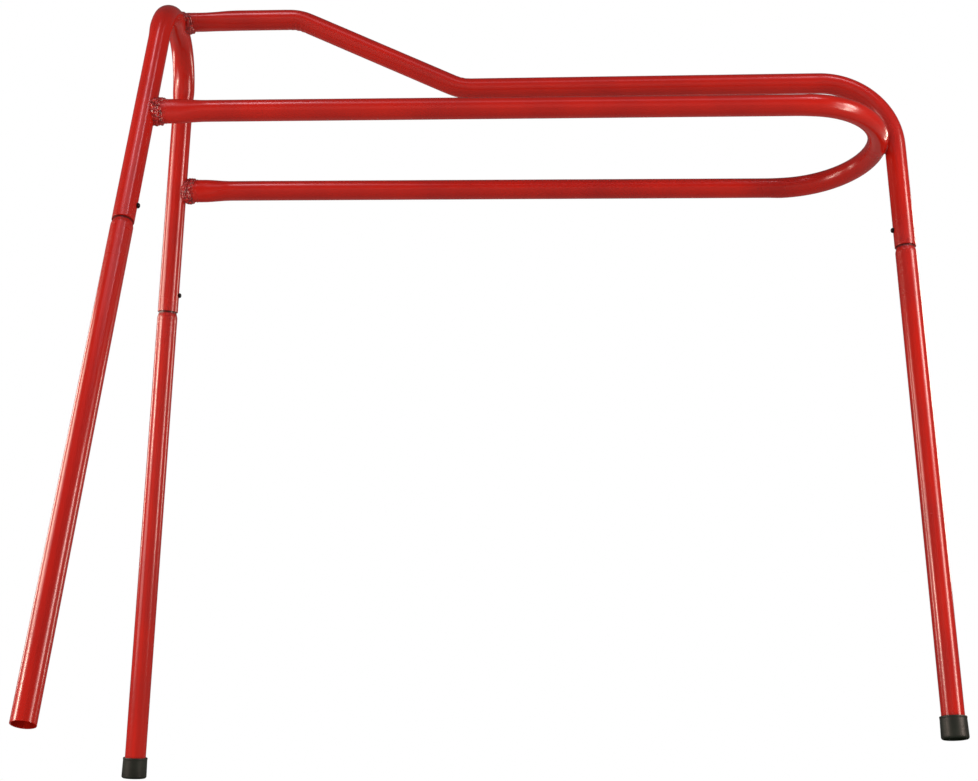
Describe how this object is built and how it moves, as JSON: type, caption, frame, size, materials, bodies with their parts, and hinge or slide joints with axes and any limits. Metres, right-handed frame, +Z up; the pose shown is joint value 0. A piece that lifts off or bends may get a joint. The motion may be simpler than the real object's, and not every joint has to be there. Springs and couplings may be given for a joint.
{
  "type": "saddle rack",
  "caption": "Freestanding saddle rack of bent steel tube: splayed front hoop, dipped top rail that turns down into a rear leg, level hairpin rail, and plug-in lower legs.",
  "frame": {"origin": "on the floor, midway between the front and rear ends of the rack, in its plane of symmetry", "axes": "+X from the front hoop to the rear leg, +Y to the far side, +Z up"},
  "size_m": [0.983, 0.5211, 0.9329],
  "materials": {
    "red_powder_coat": "glossy red powder coat on mild steel tube, light orange peel",
    "coated_weld": "lumpy weld bead and spatter under the same glossy red powder coat",
    "black_rubber": "moulded black rubber, slightly greenish, satin",
    "blackened_steel": "blackened steel button head",
    "spring_steel": "plain tempered spring strip"
  },
  "bodies": {
    "frame": {"front_hoop": "red_powder_coat", "spine": "red_powder_coat", "saddle_rail_loop": "red_powder_coat", "spine_weld": "coated_weld", "near_rail_weld": "coated_weld", "far_rail_weld": "coated_weld", "tip_weld": "coated_weld"},
    "near_leg_assembly": {"near_leg": "red_powder_coat", "near_button_spring": "spring_steel"},
    "far_leg_assembly": {"far_leg": "red_powder_coat", "far_ferrule": "black_rubber", "far_button_spring": "spring_steel"},
    "rear_leg_assembly": {"rear_leg": "red_powder_coat", "rear_ferrule": "black_rubber", "rear_button_spring": "spring_steel"},
    "near_button": {"near_snap_button": "blackened_steel"},
    "far_button": {"far_snap_button": "blackened_steel"},
    "rear_button": {"rear_snap_button": "blackened_steel"}
  },
  "joints": [
    {"name": "near_leg_slide", "type": "slide", "parent": "frame", "child": "near_leg_assembly", "axis": [-0.0606, -0.1941, -0.9791], "range_m": [0, 0.055], "deforming": ["near_snap_button"]},
    {"name": "far_leg_slide", "type": "slide", "parent": "frame", "child": "far_leg_assembly", "axis": [-0.0606, 0.1941, -0.9791], "range_m": [0, 0.055], "deforming": ["far_snap_button"]},
    {"name": "rear_leg_slide", "type": "slide", "parent": "frame", "child": "rear_leg_assembly", "axis": [-0.0176, 0, -0.9998], "range_m": [0, 0.055], "deforming": ["rear_snap_button"]},
    {"name": "near_button_press", "type": "slide", "parent": "near_leg_assembly", "child": "near_button", "axis": [-0.9981, 0, 0.0617], "range_m": [0, 0.0048], "stiffness_N_per_m": 1500, "springref_m": -0.0015, "deforming": ["near_button_spring"]},
    {"name": "far_button_press", "type": "slide", "parent": "far_leg_assembly", "child": "far_button", "axis": [-0.9981, 0, 0.0617], "range_m": [0, 0.0048], "stiffness_N_per_m": 1500, "springref_m": -0.0015, "deforming": ["far_button_spring"]},
    {"name": "rear_button_press", "type": "slide", "parent": "rear_leg_assembly", "child": "rear_button", "axis": [0.9998, 0, -0.0176], "range_m": [0, 0.0048], "stiffness_N_per_m": 1500, "springref_m": -0.0015, "deforming": ["rear_button_spring"]}
  ]
}
